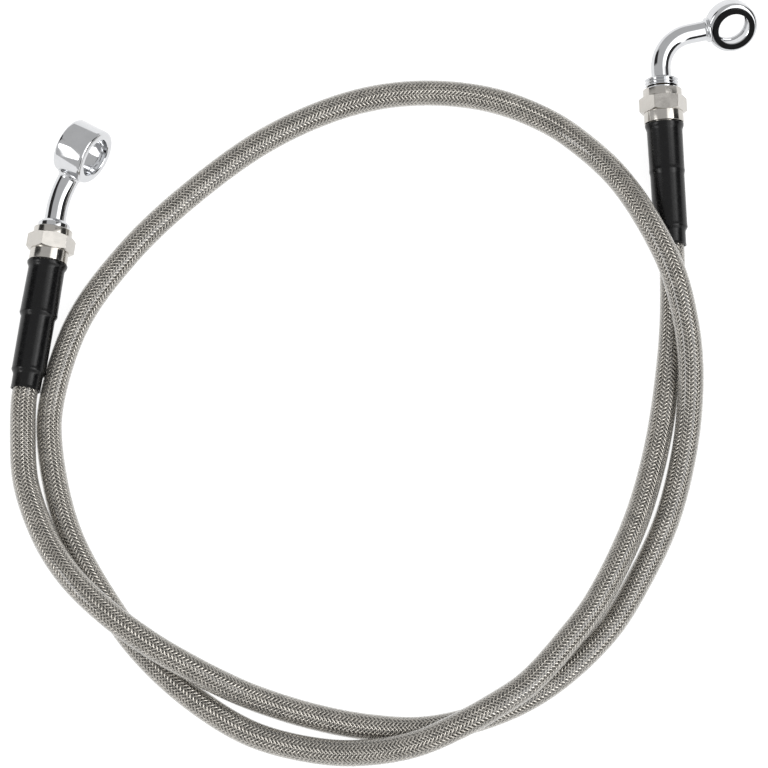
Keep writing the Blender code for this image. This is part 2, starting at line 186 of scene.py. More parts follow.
def bar_along(name, points, radius, sides):
    """A round bar along points, as a curve object. sides is the curve's bevel resolution."""
    curve = bpy.data.curves.new(name, "CURVE")
    curve.dimensions = "3D"
    curve.twist_mode = "MINIMUM"
    curve.use_deform_bounds = False
    spline = curve.splines.new("POLY")
    spline.points.add(len(points) - 1)
    for spot, point in zip(spline.points, points):
        spot.co = (*point, 1.0)
    spline.use_smooth = True
    curve.bevel_depth = radius
    curve.bevel_resolution = sides
    curve.use_fill_caps = True
    bar = bpy.data.objects.new(name, curve)
    bpy.context.scene.collection.objects.link(bar)
    return bar


# The hose runs straight inside each fitting. The first and the last span of the guide only
# aim the free line along the fittings, so they are left out of it.
left_straight = [on_fitting("left", z) for z in (HOSE_STOP, SKIRT_END["left"], SLEEVE_END["left"])]
right_straight = [
    on_fitting("right", z) for z in (SLEEVE_END["right"], SKIRT_END["right"], HOSE_STOP)
]
guide = [left_straight[-1], on_fitting("left", SLEEVE_END["left"] - LEAD_OUT)]
guide += [Vector(p) for p in ROUTE]
guide += [on_fitting("right", SLEEVE_END["right"] - LEAD_OUT), right_straight[0]]
free_line = smooth_line(guide, STEPS_IN_SPAN)[STEPS_IN_SPAN:-STEPS_IN_SPAN]
hose_line = left_straight + evenly(free_line, JACKET_STEP) + right_straight
HOSE_LENGTH = line_length(hose_line)

# Clear PVC: a faint warm tint, a little haze where one looks along its wall, and a smooth
# skin that mirrors more and more towards its edges. The jacket doesn't bend light, so its
# inner side gets the outer side's share of mirroring.
PVC_IOR = 1.5
clear_pvc, tree = new_material("clear_pvc_jacket")
facing = add_node(tree, "ShaderNodeNewGeometry")
bending = add_node(
    tree, "ShaderNodeMapRange", values={"To Min": PVC_IOR, "To Max": 1.0 / PVC_IOR},
    links={"Value": facing.outputs["Backfacing"]},
)
rim = add_node(tree, "ShaderNodeFresnel", links={"IOR": bending.outputs[0]})
edge = add_node(tree, "ShaderNodeLayerWeight", values={"Blend": 0.35})
milk = add_node(
    tree, "ShaderNodeMapRange",
    values={"From Min": 0.1, "From Max": 0.9, "To Min": 0.05, "To Max": 0.7},
    links={"Value": edge.outputs["Facing"]},
)
clear = add_node(tree, "ShaderNodeBsdfTransparent", values={"Color": srgb("FAF9F6")})
haze = add_node(tree, "ShaderNodeBsdfDiffuse", values={"Color": srgb("ABA9A5")})
wall = add_node(
    tree, "ShaderNodeMixShader",
    links={0: milk.outputs[0], 1: clear.outputs[0], 2: haze.outputs[0]},
)
skin = add_node(tree, "ShaderNodeBsdfGlossy", values={"Color": srgb("FFFFFF"), "Roughness": 0.09})
mixed = add_node(
    tree, "ShaderNodeMixShader",
    links={0: rim.outputs[0], 1: wall.outputs[0], 2: skin.outputs[0]},
)
add_node(tree, "ShaderNodeOutputMaterial", links={"Surface": mixed.outputs[0]})

jacket = bar_along("hose_jacket", hose_line, HOSE_R, JACKET_SIDES)
jacket.data.materials.append(clear_pvc)
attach(jacket, "root")
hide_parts("hose")


# Hose liner: the plastic tube that carries the fluid, extruded first, under the braid.
# It shows only as the ground between the strands, and its dark colour is painted shade for those
# gaps.
LINER_R = 3.32 * MM
LINER_SIDES = 4

# PTFE liner coloured dark as painted shade between the strands: waxy and uneven in tone over a few
# millimetres.
liner_painted_shade, tree = new_material("ptfe_liner_painted_shade")
where = add_node(tree, "ShaderNodeTexCoord")
cloud = add_node(
    tree, "ShaderNodeTexNoise", values={"Scale": 1.0 / (4.0 * MM), "Detail": 2.0},
    links={"Vector": where.outputs["Object"]},
)
tone = add_node(tree, "ShaderNodeValToRGB", links={"Fac": cloud.outputs[0]})
tone.color_ramp.elements[0].color = srgb("4A4744")
tone.color_ramp.elements[1].color = srgb("5E5B57")
body = add_node(
    tree, "ShaderNodeBsdfPrincipled", values={"Roughness": 0.55},
    links={"Base Color": tone.outputs[0]},
)
add_node(tree, "ShaderNodeOutputMaterial", links={"Surface": body.outputs[0]})

liner = bar_along("hose_liner", hose_line, LINER_R, LINER_SIDES)
liner.data.materials.append(liner_painted_shade)
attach(liner, "root")


# Hose braid: stainless wires in flat strands, sixteen each way round, plaited two over and
# two under on a braiding machine. The strands float in sixteen rows along the hose, with
# right-hand and left-hand rows in turn. Four pieces hold eight strands each.
CARRIERS = 16
LEAD = 20.0 * MM
WEAVE_R = 3.54 * MM
WEAVE_LIFT = 0.13 * MM
WEAVE_FLAT = 1.23
WEAVE_REPEAT = 2.0 * LEAD / CARRIERS
STEPS_IN_REPEAT = 8
STRAND_HALF = 0.39 * MM
STRAND_CROWN = 0.16 * MM
STRAND_EDGE = -0.05 * MM
STRAND_SIDES = 3
WIRES_IN_STRAND = 4
UNDER_SLEEVE = 4.0 * MM
STRAND_MERGE = 0.0001 * MM
REPEAT_MERGE = 0.001 * MM


def braid_repeat(hand, first):
    """Eight strands over one repeat, about X. hand is 1 or -1, first is 0 or 1."""
    # A flat grid is rolled into a three-sided strand: its last row closes on its first.
    bm = bmesh.new()
    uv = bm.loops.layers.uv.new("strand")
    bmesh.ops.create_grid(bm, x_segments=STEPS_IN_REPEAT, y_segments=STRAND_SIDES, size=0.5)
    for face in bm.faces:
        for loop in face.loops:
            across = (loop.vert.co.y + 0.5) * STRAND_SIDES / 2.0
            loop[uv].uv = (across, loop.vert.co.x + 0.5)
    slant = math.atan(2.0 * math.pi * WEAVE_R / LEAD)
    step = WEAVE_REPEAT / 2.0
    top_at = 0.25 * step - first * step if hand > 0 else 0.75 * step + first * step
    corners = [(-STRAND_HALF, STRAND_EDGE), (0.0, STRAND_CROWN), (STRAND_HALF, STRAND_EDGE)]
    for vert in bm.verts:
        along = (vert.co.x + 0.5) * WEAVE_REPEAT
        aside, up = corners[round((vert.co.y + 0.5) * STRAND_SIDES) % STRAND_SIDES]
        wave = WEAVE_FLAT * math.cos(2.0 * math.pi * (along - top_at) / WEAVE_REPEAT)
        r = WEAVE_R + WEAVE_LIFT * max(-1.0, min(1.0, wave)) + up
        angle = hand * 2.0 * math.pi * along / LEAD + first * 2.0 * math.pi / CARRIERS
        angle += aside * math.cos(slant) / WEAVE_R
        along -= hand * aside * math.sin(slant)
        vert.co = (along, r * math.cos(angle), r * math.sin(angle))
    bmesh.ops.remove_doubles(bm, verts=bm.verts, dist=STRAND_MERGE)
    copies = CARRIERS // 2
    bmesh.ops.spin(
        bm, geom=bm.verts[:] + bm.edges[:] + bm.faces[:], cent=(0.0, 0.0, 0.0),
        axis=(1.0, 0.0, 0.0), angle=2.0 * math.pi * (copies - 1) / copies,
        steps=copies - 1, use_duplicate=True,
    )
    return bm


def settled(piece):
    """The piece's mesh with its modifiers applied."""
    bpy.context.view_layer.update()
    seen = piece.evaluated_get(bpy.context.evaluated_depsgraph_get())
    mesh = bpy.data.meshes.new_from_object(seen)
    piece.modifiers.clear()
    return mesh


# Stainless wire: drawn bright, so each wire mirrors softly along its length. The wires of a
# strand lie side by side as ridges, and four of them are as fine as the render can show.
steel_wire, tree = new_material("stainless_wire")
across = add_node(tree, "ShaderNodeUVMap", {"uv_map": "strand"})
sides = add_node(tree, "ShaderNodeSeparateXYZ", links={0: across.outputs[0]})
where = add_node(tree, "ShaderNodeTexCoord")
patches = add_node(
    tree, "ShaderNodeTexNoise", values={"Scale": 1.0 / (3.0 * MM), "Detail": 3.0},
    links={"Vector": where.outputs["Object"]},
)
tone = add_node(tree, "ShaderNodeValToRGB", links={"Fac": patches.outputs[0]})
tone.color_ramp.elements[0].position = 0.3
tone.color_ramp.elements[0].color = srgb("C5C2BE")
tone.color_ramp.elements[1].position = 0.7
tone.color_ramp.elements[1].color = srgb("DFDCD8")
ridges = add_node(
    tree, "ShaderNodeMath", {"operation": "MULTIPLY"},
    {1: 2.0 * math.pi * WIRES_IN_STRAND}, {0: sides.outputs[0]},
)
rounds = add_node(tree, "ShaderNodeMath", {"operation": "COSINE"}, links={0: ridges.outputs[0]})
relief = add_node(
    tree, "ShaderNodeBump", values={"Strength": 0.35, "Distance": 0.03 * MM},
    links={"Height": rounds.outputs[0]},
)
sheen = add_node(
    tree, "ShaderNodeMapRange",
    values={"From Min": 0.3, "From Max": 0.7, "To Min": 0.2, "To Max": 0.32},
    links={"Value": patches.outputs[0]},
)
body = add_node(
    tree, "ShaderNodeBsdfPrincipled", values={"Metallic": 1.0},
    links={
        "Base Color": tone.outputs[0], "Roughness": sheen.outputs[0],
        "Normal": relief.outputs[0],
    },
)
add_node(tree, "ShaderNodeOutputMaterial", links={"Surface": body.outputs[0]})

braid_from = (HOSE_STOP - SLEEVE_END["left"]) * MM - UNDER_SLEEVE
braid_to = HOSE_LENGTH - (HOSE_STOP - SLEEVE_END["right"]) * MM + UNDER_SLEEVE
repeats = int((braid_to - braid_from) / WEAVE_REPEAT)
guide_line = bar_along("hose_guide_line", hose_line, 0.0, 0)
for name, hand, first in (
    ("hose_braid_right_hand_1", 1, 0),
    ("hose_braid_right_hand_2", 1, 1),
    ("hose_braid_left_hand_1", -1, 0),
    ("hose_braid_left_hand_2", -1, 1),
):
    bm = braid_repeat(hand, first)
    bmesh.ops.translate(bm, verts=bm.verts, vec=(braid_from, 0.0, 0.0))
    mesh = bpy.data.meshes.new(name)
    bm.to_mesh(mesh)
    bm.free()
    braid = bpy.data.objects.new(name, mesh)
    bpy.context.scene.collection.objects.link(braid)
    rows = braid.modifiers.new("Repeats", "ARRAY")
    rows.count = repeats
    rows.use_relative_offset = False
    rows.use_constant_offset = True
    rows.constant_offset_displace = (WEAVE_REPEAT, 0.0, 0.0)
    rows.use_merge_vertices = True
    rows.merge_threshold = REPEAT_MERGE
    lay = braid.modifiers.new("Lay along hose", "CURVE")
    lay.object = guide_line
    lay.deform_axis = "POS_X"
    braid.data = settled(braid)
    bm = bmesh.new()
    bm.from_mesh(braid.data)
    bmesh.ops.holes_fill(bm, edges=bm.edges, sides=STRAND_SIDES)
    bmesh.ops.recalc_face_normals(bm, faces=bm.faces)
    bm.to_mesh(braid.data)
    bm.free()
    braid.data.shade_smooth()
    braid.data.materials.clear()
    braid.data.materials.append(steel_wire)
    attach(braid, "root")
bpy.data.objects.remove(guide_line)


# Floor and light: a pale table lit from below, so that shadows stay faint, in a grey tent with
# a bright soft panel on either side and dark gaps beside the panels.
TABLE_HALF = 3.0
TABLE_GLOW = 0.9
TENT_GREY = 0.6

pale_table, tree = new_material("pale_table")
matt = add_node(tree, "ShaderNodeBsdfDiffuse", values={"Color": srgb("959595")})
glow = add_node(
    tree, "ShaderNodeEmission", values={"Color": srgb("FFFFFF"), "Strength": TABLE_GLOW},
)
both = add_node(tree, "ShaderNodeAddShader", links={0: matt.outputs[0], 1: glow.outputs[0]})
add_node(tree, "ShaderNodeOutputMaterial", links={"Surface": both.outputs[0]})
bm = bmesh.new()
bmesh.ops.create_grid(bm, x_segments=1, y_segments=1, size=TABLE_HALF)
mesh = bpy.data.meshes.new("table")
bm.to_mesh(mesh)
bm.free()
mesh.materials.append(pale_table)
table = bpy.data.objects.new("table", mesh)
bpy.context.scene.collection.objects.link(table)

tent = bpy.data.worlds.new("tent")
bpy.context.scene.world = tent
tent.use_nodes = True
tree = tent.node_tree
tree.nodes.clear()
where = add_node(tree, "ShaderNodeTexCoord")
ways = add_node(tree, "ShaderNodeSeparateXYZ", links={0: where.outputs["Generated"]})


def within(tree, value, low, high, soft):
    """1 where a value lies from low to high, with soft edges, and 0 elsewhere."""
    rise = add_node(
        tree, "ShaderNodeMapRange", {"interpolation_type": "SMOOTHSTEP"},
        {"From Min": low - soft, "From Max": low + soft}, {"Value": value},
    )
    fall = add_node(
        tree, "ShaderNodeMapRange", {"interpolation_type": "SMOOTHSTEP"},
        {"From Min": high - soft, "From Max": high + soft, "To Min": 1.0, "To Max": 0.0},
        {"Value": value},
    )
    both = add_node(
        tree, "ShaderNodeMath", {"operation": "MULTIPLY"},
        links={0: rise.outputs[0], 1: fall.outputs[0]},
    )
    return both.outputs[0]


# Each patch of the tent takes the place of what is under it. It lies where the X and the Y of
# a direction are within x and y, level is its brightness, and soft is half the width of its
# faded border.
TENT_PATCHES = (
    Sizes(level=0.04, x=(0.32, 2.0), y=(-2.0, 0.3), soft=0.04),
    Sizes(level=2.0, x=(0.27, 0.79), y=(-0.74, 0.22), soft=0.03),
    Sizes(level=5.0, x=(0.56, 0.76), y=(-0.5, 0.16), soft=0.04),
    Sizes(level=0.03, x=(-2.0, -0.68), y=(0.27, 0.62), soft=0.03),
    Sizes(level=5.0, x=(-0.88, -0.72), y=(-0.42, 0.02), soft=0.03),
)
light = add_node(tree, "ShaderNodeValue")
light.outputs[0].default_value = TENT_GREY
for patch in TENT_PATCHES:
    place = add_node(
        tree, "ShaderNodeMath", {"operation": "MULTIPLY"},
        links={
            0: within(tree, ways.outputs[0], *patch.x, patch.soft),
            1: within(tree, ways.outputs[1], *patch.y, patch.soft),
        },
    )
    light = add_node(
        tree, "ShaderNodeMix", {"data_type": "FLOAT"}, {3: patch.level},
        {0: place.outputs[0], 2: light.outputs[0]},
    )
sky = add_node(tree, "ShaderNodeBackground", links={"Color": light.outputs[0]})
add_node(tree, "ShaderNodeOutputWorld", links={"Surface": sky.outputs[0]})
bpy.context.scene.view_settings.view_transform = "Standard"


# Shrink sleeves: black polyolefin tube shrunk hot over the nut's skirt, the inner sleeve and
# the bare hose, so that it steps down twice. Its mouth flares a little over the nut's collar.
GAP = 0.3 * MM
HOSE_BORE_R = HOSE_R + GAP
SKIRT_R = HOSE_BORE_R + 0.7 * MM
INNER_SLEEVE_R = HOSE_BORE_R + 0.45 * MM

# Radii and places along the fitting, in millimetres. skirt_r is over the skirt, at the mouth
# and at the skirt's end.
OVER_INNER_R = 5.3
OVER_HOSE_R = 4.6
SLEEVE = {
    "left": Sizes(lip=-6.2, lip_r=6.25, skirt_r=(5.6, 5.8), inner_end=-41.2),
    "right": Sizes(lip=-6.0, lip_r=6.05, skirt_r=(5.55, 5.45), inner_end=-39.3),
}
TURNED_STEPS = 96
ROUNDING_STEPS = 4
MERGE = 0.0005 * MM
SHARP_FROM = 33.0

# Shrunk polyolefin: a black closed skin with a soft sheen, which a shallow unevenness breaks
# up. The real grain is finer than the millimetre and a half that the render can show.
black_polyolefin, tree = new_material("black_shrunk_polyolefin")
where = add_node(tree, "ShaderNodeTexCoord")
grain = add_node(
    tree, "ShaderNodeTexNoise", values={"Scale": 1.0 / (1.5 * MM), "Detail": 4.0},
    links={"Vector": where.outputs["Object"]},
)
tone = add_node(tree, "ShaderNodeValToRGB", links={"Fac": grain.outputs[0]})
tone.color_ramp.elements[0].color = srgb("09090A")
tone.color_ramp.elements[1].color = srgb("111112")
sheen = add_node(
    tree, "ShaderNodeMapRange",
    values={"From Min": 0.3, "From Max": 0.7, "To Min": 0.2, "To Max": 0.3},
    links={"Value": grain.outputs[0]},
)
relief = add_node(
    tree, "ShaderNodeBump", values={"Strength": 0.2, "Distance": 0.02 * MM},
    links={"Height": grain.outputs[0]},
)
body = add_node(
    tree, "ShaderNodeBsdfPrincipled", values={"Specular IOR Level": 0.28},
    links={
        "Base Color": tone.outputs[0], "Roughness": sheen.outputs[0],
        "Normal": relief.outputs[0],
    },
)
add_node(tree, "ShaderNodeOutputMaterial", links={"Surface": body.outputs[0]})


def in_metres(profile):
    """A profile of (radius, height, rounding) corners in millimetres, in metres."""
    return [(r * MM, z * MM, rounding * MM) for r, z, rounding in profile]


def eased(profile):
    """A closed profile of (radius, height, rounding) corners, as (radius, height) points."""
    points = []
    count = len(profile)
    for i, (r, z, rounding) in enumerate(profile):
        here = Vector((r, z))
        if not rounding:
            points.append((r, z))
            continue
        back = Vector(profile[i - 1][:2]) - here
        ahead = Vector(profile[(i + 1) % count][:2]) - here
        reach = min(rounding, 0.45 * back.length, 0.45 * ahead.length)
        start = here + back.normalized() * reach
        stop = here + ahead.normalized() * reach
        for step in range(ROUNDING_STEPS + 1):
            t = step / ROUNDING_STEPS
            spot = start.lerp(here, t).lerp(here.lerp(stop, t), t)
            points.append((spot.x, spot.y))
    return points


def finish_mesh(piece, coat, sharp_from=SHARP_FROM):
    """One material, smooth faces, and sharp edges where they turn by more than that angle."""
    piece.data.materials.clear()
    piece.data.materials.append(coat)
    piece.data.shade_smooth()
    piece.data.set_sharp_from_angle(angle=math.radians(sharp_from))


def made_piece(name, bm, coat):
    """A mesh object from a bmesh, which is used up."""
    mesh = bpy.data.meshes.new(name)
    bm.to_mesh(mesh)
    bm.free()
    piece = bpy.data.objects.new(name, mesh)
    bpy.context.scene.collection.objects.link(piece)
    finish_mesh(piece, coat)
    return piece


def turned(name, profile, place, coat):
    """A closed profile turned about Z and put in its place."""
    bm = bmesh.new()
    verts = [bm.verts.new((r, 0.0, z)) for r, z in eased(profile)]
    edges = [bm.edges.new(pair) for pair in zip(verts, verts[1:] + verts[:1])]
    bmesh.ops.spin(
        bm, geom=verts + edges, cent=(0.0, 0.0, 0.0), axis=(0.0, 0.0, 1.0),
        angle=2.0 * math.pi, steps=TURNED_STEPS, use_merge=True,
    )
    bmesh.ops.remove_doubles(bm, verts=bm.verts, dist=MERGE)
    bmesh.ops.recalc_face_normals(bm, faces=bm.faces)
    bm.transform(place)
    return made_piece(name, bm, coat)


for side, size in SLEEVE.items():
    skirt_end = SKIRT_END[side]
    sleeve_end = SLEEVE_END[side]
    mouth_r, step_r = size.skirt_r
    outline = in_metres([
        # The flared mouth.
        (size.lip_r - 0.25, size.lip, 0.15),
        (size.lip_r, size.lip - 0.1, 0.15),
        (size.lip_r - 0.05, size.lip - 0.9, 0.5),
        # Over the nut's skirt, to a low ridge at its end.
        (mouth_r, size.lip - 1.9, 0.6),
        (step_r, skirt_end + 1.4, 0.6),
        (step_r + 0.12, skirt_end + 0.5, 0.3),
        # Over the inner sleeve.
        (OVER_INNER_R, skirt_end - 0.6, 0.4),
        (OVER_INNER_R - 0.05, size.inner_end + 1.2, 0.4),
        (OVER_INNER_R + 0.05, size.inner_end + 0.3, 0.35),
        # Over the bare hose, to the cut end.
        (OVER_HOSE_R, size.inner_end - 0.9, 0.5),
        (OVER_HOSE_R - 0.06, sleeve_end + 0.7, 0.3),
        (OVER_HOSE_R + 0.05, sleeve_end, 0.12),
    ])
    inside = [
        (HOSE_BORE_R, sleeve_end * MM, 0.0),
        (HOSE_BORE_R, (size.inner_end + 0.1) * MM, 0.0),
        (INNER_SLEEVE_R + GAP, (size.inner_end + 0.2) * MM, 0.0),
        (INNER_SLEEVE_R + GAP, (skirt_end + 0.1) * MM, 0.0),
        (SKIRT_R + GAP, (skirt_end + 0.3) * MM, 0.0),
        (SKIRT_R + GAP, size.lip * MM, 0.0),
    ]
    sleeve = turned(side + "_sleeve", outline + inside, SEAT[side], black_polyolefin)
    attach(sleeve, "root")
    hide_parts(side + "_shrink_sleeve")
    # The inner sleeve is the same tube, and shows only as the step above it.
    inner_sleeve = bpy.data.objects[side + "_inner_sleeve"]
    inner_sleeve.data.materials.clear()
    inner_sleeve.data.materials.append(black_polyolefin)


# Socket nuts: steel turned from hexagon bar and nickel plated. A round collar stands on each
# side of the hexagon, and behind it a thin skirt runs over the hose, under the sleeve.
HEX_FLATS = 13.0 * MM
HEX_CORNER_R = HEX_FLATS / math.sqrt(3.0)
HEX_HALF = 2.45 * MM
HEX_CHAMFER = 0.55 * MM
HEX_FACE_R = HEX_FLATS / 2.0 - 0.25 * MM
HEX_BROKEN_EDGE = 0.07 * MM
SKIRT_SHORT = 0.6
OVERCUT = 0.1 * MM
HOLLOW_LENGTH = 20.0 * MM
NUT_SHARP_FROM = 16.0

# Radii and places along the fitting are in millimetres, and hex_turn is in degrees.
NUT = {
    "left": Sizes(front_r=6.0, front_end=4.65, rear_r=5.95, rear_end=-5.9, hex_turn=14.5),
    "right": Sizes(front_r=6.05, front_end=4.95, rear_r=6.15, rear_end=-5.7, hex_turn=4.0),
}
THREAD_R = {"left": 4.7, "right": 5.2}

# Bright nickel: it mirrors like chrome, but warmer, and a faint haze lies on it in patches of
# some two millimetres.
nickel_plate, tree = new_material("bright_nickel_plate")
where = add_node(tree, "ShaderNodeTexCoord")
haze = add_node(
    tree, "ShaderNodeTexNoise", values={"Scale": 1.0 / (2.0 * MM), "Detail": 3.0},
    links={"Vector": where.outputs["Object"]},
)
tone = add_node(tree, "ShaderNodeValToRGB", links={"Fac": haze.outputs[0]})
tone.color_ramp.elements[0].color = srgb("BCB8B2")
tone.color_ramp.elements[1].color = srgb("CAC7C2")
sheen = add_node(
    tree, "ShaderNodeMapRange",
    values={"From Min": 0.3, "From Max": 0.7, "To Min": 0.1, "To Max": 0.2},
    links={"Value": haze.outputs[0]},
)
body = add_node(
    tree, "ShaderNodeBsdfPrincipled", values={"Metallic": 1.0},
    links={"Base Color": tone.outputs[0], "Roughness": sheen.outputs[0]},
)
add_node(tree, "ShaderNodeOutputMaterial", links={"Surface": body.outputs[0]})


def joined(piece, other, operation, coat):
    """The piece joined with, cut by or kept inside another closed shape, which is used up."""
    cut = piece.modifiers.new(operation.title(), "BOOLEAN")
    cut.operation = operation
    cut.object = other
    cut.solver = "EXACT"
    piece.data = settled(piece)
    bpy.data.objects.remove(other)
    finish_mesh(piece, coat)


def solid_bar(name, radius, length, segments, turn, place, coat):
    """A solid bar about Z, with its middle at zero, turned and put in its place."""
    bm = bmesh.new()
    bmesh.ops.create_cone(
        bm, cap_ends=True, segments=segments, radius1=radius, radius2=radius, depth=length,
    )
    bmesh.ops.rotate(
        bm, verts=bm.verts, cent=(0.0, 0.0, 0.0), matrix=Matrix.Rotation(turn, 3, "Z"),
    )
    bm.transform(place)
    return made_piece(name, bm, coat)


for side, size in NUT.items():
    seat = SEAT[side]
    thread_bore = THREAD_R[side] * MM + GAP
    skirt_stop = (SKIRT_END[side] + SKIRT_SHORT) * MM
    hex_turn = math.radians(30.0 + size.hex_turn)
    nut = solid_bar(
        side + "_nut", HEX_CORNER_R, 2.0 * HEX_HALF, 6, hex_turn, seat, nickel_plate,
    )
    rounder_outline = [
        (1.0 * MM, HEX_HALF + OVERCUT, 0.0),
        (HEX_FACE_R, HEX_HALF + OVERCUT, 0.0),
        (HEX_CORNER_R + OVERCUT, HEX_HALF - HEX_CHAMFER, 0.0),
        (HEX_CORNER_R + OVERCUT, -HEX_HALF + HEX_CHAMFER, 0.0),
        (HEX_FACE_R, -HEX_HALF - OVERCUT, 0.0),
        (1.0 * MM, -HEX_HALF - OVERCUT, 0.0),
    ]
    rounder = turned(side + "_rounder", rounder_outline, seat, nickel_plate)
    joined(nut, rounder, "INTERSECT", nickel_plate)
    hollow = solid_bar(
        side + "_hollow", thread_bore + OVERCUT, HOLLOW_LENGTH, 64, 0.0, seat, nickel_plate,
    )
    joined(nut, hollow, "DIFFERENCE", nickel_plate)
    barrel_outline = [
        # The front collar, the rear collar and the skirt.
        (thread_bore, size.front_end * MM, 0.0),
        (size.front_r * MM, size.front_end * MM, 0.25 * MM),
        (size.front_r * MM, 0.0, 0.0),
        (size.rear_r * MM, -0.1 * MM, 0.0),
        (size.rear_r * MM, size.rear_end * MM, 0.15 * MM),
        (SKIRT_R, size.rear_end * MM, 0.0),
        (SKIRT_R, skirt_stop, 0.0),
        # The bore: the hose, the cone that the olive seats in, and the thread.
        (HOSE_BORE_R, skirt_stop, 0.0),
        (HOSE_BORE_R, -1.1 * MM, 0.0),
        (4.1 * MM, -0.3 * MM, 0.0),
        (thread_bore, 1.2 * MM, 0.0),
    ]
    barrel = turned(side + "_barrel", barrel_outline, seat, nickel_plate)
    joined(nut, barrel, "UNION", nickel_plate)
    broken = nut.modifiers.new("Broken edges", "BEVEL")
    broken.width = HEX_BROKEN_EDGE
    broken.segments = 2
    broken.limit_method = "ANGLE"
    broken.angle_limit = math.radians(25.0)
    nut.data = settled(nut)
    finish_mesh(nut, nickel_plate, NUT_SHARP_FROM)
    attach(nut, "root")
    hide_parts(side + "_socket_nut")


# Threaded nipples: turned steel, chromed with the neck and screwed into the nut. The left one
# shows its shoulder in front of the nut, the right one three turns of bare thread.
NECK_IN_NIPPLE = 2.6 * MM
SOCKET_GAP = 0.01 * MM
NOSE_DISH = 0.35 * MM
SPIGOT_R = 2.0 * MM
PASSAGE_R = 1.3 * MM
SPIGOT_END = -1.0 * MM
OLIVE_R = 3.8 * MM
OLIVE_BACK = 1.6 * MM

# Radii and places along the fitting, in millimetres.
NOSE = {"left": 7.1, "right": 8.6}
NECK_R = {"left": 3.35, "right": 3.1}
THREAD_END = 2.6
THREAD_PITCH = 1.0
THREAD_TURNS = 3
THREAD_CREST = 0.15
THREAD_FALL = 0.4
THREAD_ROOT_R = 4.65
FIRST_CREST = 8.15

# Bright chrome: a cold and nearly perfect mirror. Polishing before plating leaves patches of
# a few millimetres that are a trace softer.
bright_chrome, tree = new_material("bright_chrome_plate")
where = add_node(tree, "ShaderNodeTexCoord")
polish = add_node(
    tree, "ShaderNodeTexNoise", values={"Scale": 1.0 / (3.0 * MM), "Detail": 2.0},
    links={"Vector": where.outputs["Object"]},
)
tone = add_node(tree, "ShaderNodeValToRGB", links={"Fac": polish.outputs[0]})
tone.color_ramp.elements[0].color = srgb("C9CACC")
tone.color_ramp.elements[1].color = srgb("D6D7D9")
sheen = add_node(
    tree, "ShaderNodeMapRange",
    values={"From Min": 0.3, "From Max": 0.7, "To Min": 0.05, "To Max": 0.1},
    links={"Value": polish.outputs[0]},
)
body = add_node(
    tree, "ShaderNodeBsdfPrincipled", values={"Metallic": 1.0},
    links={"Base Color": tone.outputs[0], "Roughness": sheen.outputs[0]},
)
add_node(tree, "ShaderNodeOutputMaterial", links={"Surface": body.outputs[0]})

left_front = [
    (4.2, NOSE["left"], 0.2), (5.0, 6.2, 0.15), (5.0, NUT["left"].front_end + 0.3, 0.0),
    (THREAD_R["left"], NUT["left"].front_end + 0.3, 0.0), (THREAD_R["left"], THREAD_END, 0.0),
]
right_front = [(4.3, NOSE["right"] + 0.15, 0.15)]
for turn in range(THREAD_TURNS):
    crest = FIRST_CREST - turn * THREAD_PITCH
    right_front += [
        (THREAD_R["right"], crest, 0.1),
        (THREAD_R["right"], crest - THREAD_CREST, 0.1),
        (THREAD_ROOT_R, crest - THREAD_CREST - THREAD_FALL, 0.06),
    ]
right_front += [(THREAD_ROOT_R, 5.1, 0.0), (THREAD_ROOT_R, THREAD_END, 0.0)]
for side, front in (("left", left_front), ("right", right_front)):
    nose = NOSE[side] * MM
    socket_r = NECK_R[side] * MM + SOCKET_GAP
    socket_floor = nose - NECK_IN_NIPPLE - GAP
    outline = [(socket_r, nose + NOSE_DISH, 0.0)] + in_metres(front) + [
        (OLIVE_R, OLIVE_BACK, 0.0), (SPIGOT_R, OLIVE_BACK, 0.0), (SPIGOT_R, SPIGOT_END, 0.0),
        (PASSAGE_R, SPIGOT_END, 0.0), (PASSAGE_R, socket_floor, 0.0),
        (socket_r, socket_floor, 0.0),
    ]
    nipple = turned(side + "_nipple", outline, SEAT[side], bright_chrome)
    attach(nipple, "root")
    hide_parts(side + "_threaded_nipple")


# Olives: turned brass rings that each nut presses on its nipple, out of sight inside the
# joint. The CAD's own rings are kept.

# Turned brass: yellow, with the faint marks of the tool.
olive_brass, tree = new_material("turned_olive_brass")
where = add_node(tree, "ShaderNodeTexCoord")
marks = add_node(
    tree, "ShaderNodeTexNoise", values={"Scale": 1.0 / (0.5 * MM), "Detail": 2.0},
    links={"Vector": where.outputs["Object"]},
)
tone = add_node(tree, "ShaderNodeValToRGB", links={"Fac": marks.outputs[0]})
tone.color_ramp.elements[0].color = srgb("B8924A")
tone.color_ramp.elements[1].color = srgb("CDAA5E")
body = add_node(
    tree, "ShaderNodeBsdfPrincipled", values={"Metallic": 1.0, "Roughness": 0.3},
    links={"Base Color": tone.outputs[0]},
)
add_node(tree, "ShaderNodeOutputMaterial", links={"Surface": body.outputs[0]})
for side in ("left", "right"):
    olive = bpy.data.objects[side + "_olive"]
    olive.data.materials.clear()
    olive.data.materials.append(olive_brass)


# Banjo eyes and necks: a turned steel ring with rounded edges and an oil groove in its bore,
# and a bent steel tube brazed into it, with a collar of braze, and into the nipple. All of it
# is chromed after brazing.

